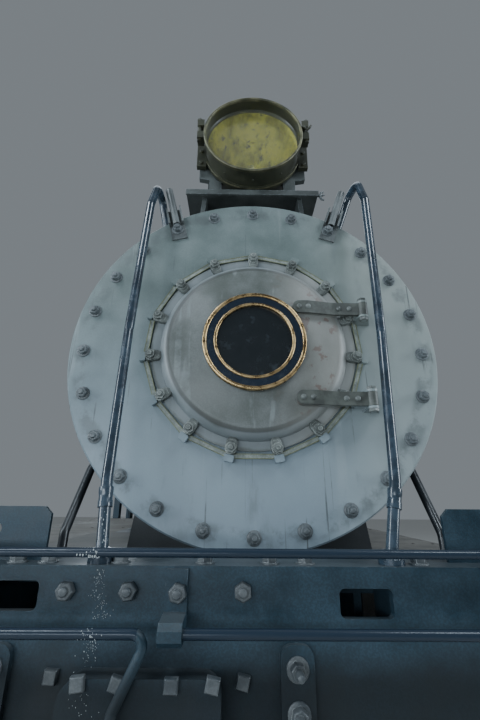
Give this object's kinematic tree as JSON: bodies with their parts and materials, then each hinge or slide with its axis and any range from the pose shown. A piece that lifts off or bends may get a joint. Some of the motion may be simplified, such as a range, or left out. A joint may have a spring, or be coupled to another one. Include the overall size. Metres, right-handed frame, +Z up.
{
  "type": "geared steam locomotive",
  "caption": "Geared steam locomotive with an offset boiler, upright cylinders and a side shaft that drives every axle through bevel gears.",
  "frame": {"origin": "middle of the track centreline between the coupler faces, at the lowest point of the wheel flanges", "axes": "-Y is the front, +Z up, +X the locomotive's left side, where the boiler stands"},
  "size_m": [3, 11.2, 3.6398],
  "materials": {
    "brass": "satin",
    "bright_steel": "oiled",
    "cab_paint": "satin",
    "cast_black": "rough",
    "clamp_iron": "satin",
    "coupler_iron": "rusty",
    "deck_steel": "worn",
    "deck_wood": "worn",
    "door_paint": "satin",
    "frame_paint": "satin",
    "front_paint": "satin",
    "glass": "clear",
    "jacket_paint": "satin",
    "lamp_paint": "satin",
    "rail_black": "gloss",
    "roof_paint": "matt",
    "truck_iron": "rough",
    "wheel_iron": "rough"
  },
  "bodies": {
    "frame": {"air_compressor": "cast_black", "air_tanks": "cast_black", "ash_pan": "cast_black", "backhead": "cast_black", "bell_stand": "cast_black", "boiler": "jacket_paint", "boiler_fittings": "brass", "boiler_handrails": "rail_black", "cab_floor": "deck_wood", "cab_roof": "roof_paint", "cab_steps": "deck_steel", "cab_walls": "cab_paint", "cab_windows": "glass", "crankshaft": "bright_steel", "cylinders": "cast_black", "engine_frame": "frame_paint", "flag_sockets": "front_paint", "front_beam": "frame_paint", "front_coupler": "coupler_iron", "front_handrails": "rail_black", "headlight": "lamp_paint", "headlight_bracket": "front_paint", "headlight_glass": "glass", "main_frame": "frame_paint", "rear_beam": "frame_paint", "rear_coupler": "coupler_iron", "rear_headlight": "lamp_paint", "running_boards": "deck_steel", "running_rods": "bright_steel", "saddle": "front_paint", "sand_dome": "jacket_paint", "smokebox": "front_paint", "smokebox_braces": "rail_black", "smokebox_front": "front_paint", "stack": "front_paint", "stack_base": "front_paint", "steam_dome": "jacket_paint", "steam_pipes": "jacket_paint", "tank": "cab_paint", "tank_lid_hinge": "cast_black"},
    "front_truck": {"front_truck": "truck_iron"},
    "rear_truck": {"rear_truck": "truck_iron"},
    "axle_1": {"wheelset_1": "wheel_iron"},
    "axle_2": {"wheelset_2": "wheel_iron"},
    "axle_3": {"wheelset_3": "wheel_iron"},
    "axle_4": {"wheelset_4": "wheel_iron"},
    "pinion_front": {"pinion_shaft_front": "wheel_iron"},
    "pinion_rear": {"pinion_shaft_rear": "wheel_iron"},
    "sleeve_front": {"sleeve_front": "wheel_iron"},
    "sleeve_rear": {"sleeve_rear": "wheel_iron"},
    "slip_front": {"slip_shaft_front": "wheel_iron"},
    "slip_rear": {"slip_shaft_rear": "wheel_iron"},
    "door": {"smokebox_door": "door_paint", "door_clamps": "clamp_iron", "number_plate": "brass"},
    "knuckle_front": {"front_knuckle": "coupler_iron"},
    "knuckle_rear": {"rear_knuckle": "coupler_iron"},
    "tank_lid": {"tank_lid": "cab_paint"},
    "bell": {"bell": "brass"}
  },
  "joints": [
    {"name": "front_truck_swivel", "type": "hinge", "parent": "frame", "child": "front_truck", "pos_m": [0, -3.4, 0.95], "axis": [0, 0, 1], "range_deg": [-5, 5]},
    {"name": "rear_truck_swivel", "type": "hinge", "parent": "frame", "child": "rear_truck", "pos_m": [0, 3.3, 0.95], "axis": [0, 0, 1], "range_deg": [-5, 5]},
    {"name": "axle_1_turn", "type": "hinge", "parent": "front_truck", "child": "axle_1", "pos_m": [0, -4.11, 0.482], "axis": [1, 0, 0], "continuous": true},
    {"name": "axle_2_turn", "type": "hinge", "parent": "front_truck", "child": "axle_2", "pos_m": [0, -2.69, 0.482], "axis": [1, 0, 0], "continuous": true},
    {"name": "axle_3_turn", "type": "hinge", "parent": "rear_truck", "child": "axle_3", "pos_m": [0, 2.59, 0.482], "axis": [1, 0, 0], "continuous": true},
    {"name": "axle_4_turn", "type": "hinge", "parent": "rear_truck", "child": "axle_4", "pos_m": [0, 4.01, 0.482], "axis": [1, 0, 0], "continuous": true},
    {"name": "pinion_front_turn", "type": "hinge", "parent": "front_truck", "child": "pinion_front", "pos_m": [-1.06, -3.4, 0.482], "axis": [0, 1, 0], "continuous": true},
    {"name": "pinion_rear_turn", "type": "hinge", "parent": "rear_truck", "child": "pinion_rear", "pos_m": [-1.06, 3.3, 0.482], "axis": [0, 1, 0], "continuous": true},
    {"name": "sleeve_front_swing", "type": "hinge", "parent": "frame", "child": "sleeve_front", "pos_m": [-1.06, -1.35, 0.482], "axis": [0, 0, 1], "range_deg": [-4.5, 4.5]},
    {"name": "sleeve_rear_swing", "type": "hinge", "parent": "frame", "child": "sleeve_rear", "pos_m": [-1.06, 0.65, 0.482], "axis": [0, 0, 1], "range_deg": [-4.5, 4.5]},
    {"name": "slip_front_slide", "type": "slide", "parent": "sleeve_front", "child": "slip_front", "axis": [0, -1, 0], "range_m": [-0.094, 0.094]},
    {"name": "slip_rear_slide", "type": "slide", "parent": "sleeve_rear", "child": "slip_rear", "axis": [0, 1, 0], "range_m": [-0.094, 0.094]},
    {"name": "smokebox_door_swing", "type": "hinge", "parent": "frame", "child": "door", "pos_m": [0.688, -5.06, 2.175], "axis": [0, 0, 1], "range_deg": [0, 80]},
    {"name": "front_knuckle_swing", "type": "hinge", "parent": "frame", "child": "knuckle_front", "pos_m": [0.072, -5.508, 0.901], "axis": [0, 0, 1], "range_deg": [0, 50]},
    {"name": "rear_knuckle_swing", "type": "hinge", "parent": "frame", "child": "knuckle_rear", "pos_m": [-0.072, 5.508, 0.901], "axis": [0, 0, 1], "range_deg": [0, 50]},
    {"name": "tank_lid_swing", "type": "hinge", "parent": "frame", "child": "tank_lid", "pos_m": [0, 4.332, 2.63], "axis": [1, 0, 0], "range_deg": [0, 105]},
    {"name": "bell_swing", "type": "hinge", "parent": "frame", "child": "bell", "pos_m": [0.27, -2.27, 3.15], "axis": [1, 0, 0], "range_deg": [-40, 40]}
  ],
  "couplings": [
    {"joint": "axle_2_turn", "follows": "axle_1_turn", "ratio": 1},
    {"joint": "axle_4_turn", "follows": "axle_3_turn", "ratio": 1},
    {"joint": "pinion_front_turn", "follows": "axle_1_turn", "ratio": 2.05},
    {"joint": "pinion_rear_turn", "follows": "axle_3_turn", "ratio": 2.05},
    {"joint": "sleeve_front_swing", "follows": "front_truck_swivel", "ratio": -0.81416},
    {"joint": "slip_front_slide", "follows": "front_truck_swivel", "m_per_rad": 1.06},
    {"joint": "sleeve_rear_swing", "follows": "rear_truck_swivel", "ratio": -0.82759},
    {"joint": "slip_rear_slide", "follows": "rear_truck_swivel", "m_per_rad": -1.06}
  ]
}
